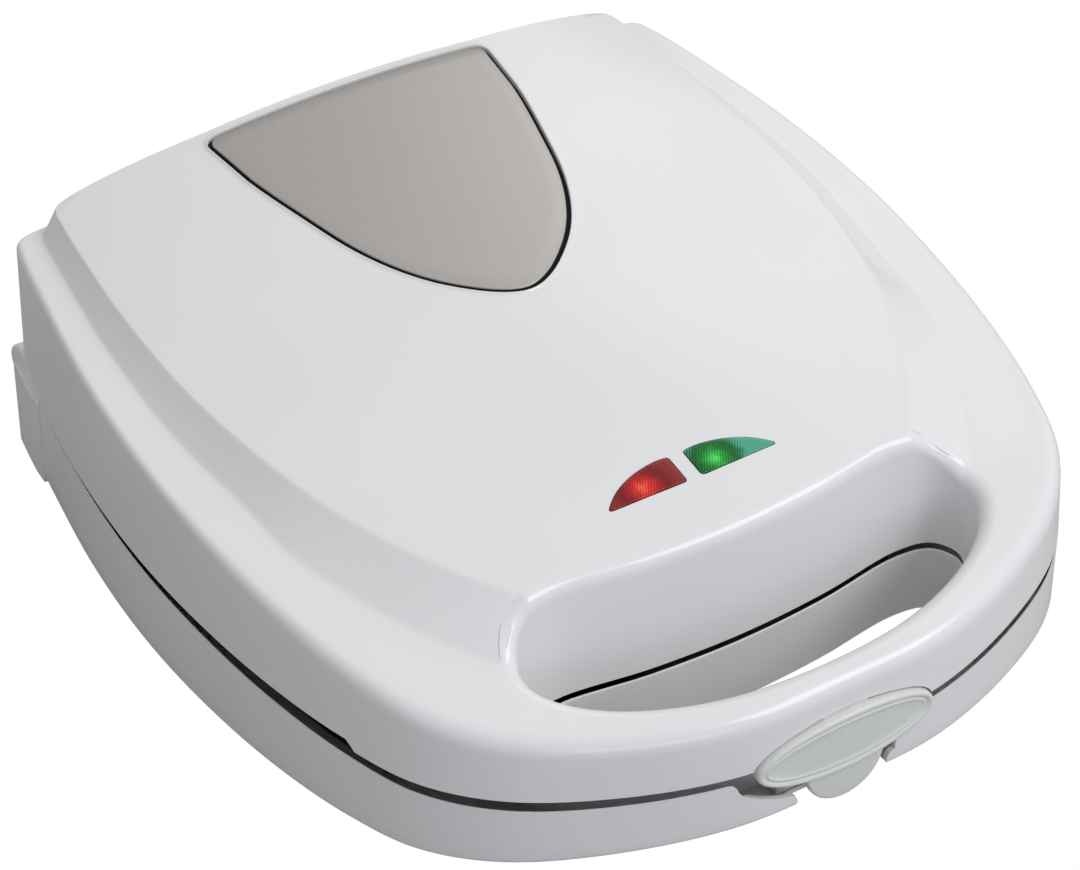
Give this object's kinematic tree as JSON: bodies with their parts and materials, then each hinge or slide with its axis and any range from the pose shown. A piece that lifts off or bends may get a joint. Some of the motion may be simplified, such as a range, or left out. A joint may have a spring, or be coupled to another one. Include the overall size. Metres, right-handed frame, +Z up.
{
  "type": "cupcake maker",
  "caption": "Countertop cake cooker with a rear-hinged lid, a latched front carrying handle, deep cups in the base plate and shallow domes in the lid plate.",
  "frame": {"origin": "on the surface that the feet stand on, below the middle of the plan box", "axes": "+Z up, +X to the right seen from the front, +Y from the latch towards the hinge"},
  "size_m": [0.2366, 0.26, 0.0953],
  "materials": {
    "white_housing": "glossy white moulded plastic",
    "latch_plastic": "light grey moulded plastic, a little softer in shine",
    "steel_plate": "satin stainless steel",
    "red_lens": "clear red moulded lens",
    "green_lens": "clear green moulded lens",
    "non_stick": "cast aluminium with a black non-stick coating",
    "element_sheath": "dull heat-darkened sheath",
    "reflector_sheet": "plain sheet metal",
    "fastener_steel": "zinc-plated steel",
    "foot_rubber": "black rubber",
    "gland_rubber": "dark moulded rubber",
    "ceramic": "heat-proof ceramic or moulding",
    "lamp_glass": "small glass neon lamp"
  },
  "bodies": {
    "base": {"base_housing": "white_housing", "lower_baking_plate": "non_stick", "lower_heating_element": "element_sheath", "lower_reflector_tray": "reflector_sheet", "lower_plate_screw_front_left": "fastener_steel", "lower_plate_screw_rear_left": "fastener_steel", "lower_plate_screw_front_right": "fastener_steel", "lower_plate_screw_rear_right": "fastener_steel", "hinge_pin_left": "fastener_steel", "hinge_pin_right": "fastener_steel", "foot_front_left": "foot_rubber", "foot_rear_left": "foot_rubber", "foot_front_right": "foot_rubber", "foot_rear_right": "foot_rubber", "cord_gland": "gland_rubber", "lower_thermostat": "ceramic", "thermal_fuse": "ceramic", "terminal_block": "ceramic"},
    "lid": {"lid_housing": "white_housing", "steel_top_plate": "steel_plate", "red_lens": "red_lens", "green_lens": "green_lens", "lamp_holder": "ceramic", "red_lamp": "lamp_glass", "green_lamp": "lamp_glass", "lamp_holder_screw_left": "fastener_steel", "lamp_holder_screw_right": "fastener_steel", "upper_baking_plate": "non_stick", "upper_heating_element": "element_sheath", "upper_reflector_tray": "reflector_sheet", "upper_thermostat": "ceramic", "latch_pin": "fastener_steel", "upper_plate_screw_front_left": "fastener_steel", "upper_plate_screw_rear_left": "fastener_steel", "upper_plate_screw_front_right": "fastener_steel", "upper_plate_screw_rear_right": "fastener_steel"},
    "latch": {"latch_face": "latch_plastic", "latch_clip": "latch_plastic"}
  },
  "joints": [
    {"name": "lid_hinge", "type": "hinge", "parent": "base", "child": "lid", "pos_m": [0, 0.12425, 0.035], "axis": [-1, 0, 0], "range_deg": [0, 100]},
    {"name": "latch_pivot", "type": "hinge", "parent": "lid", "child": "latch", "pos_m": [0, -0.1244, 0.0432], "axis": [-1, 0, 0], "range_deg": [0, 18]}
  ]
}
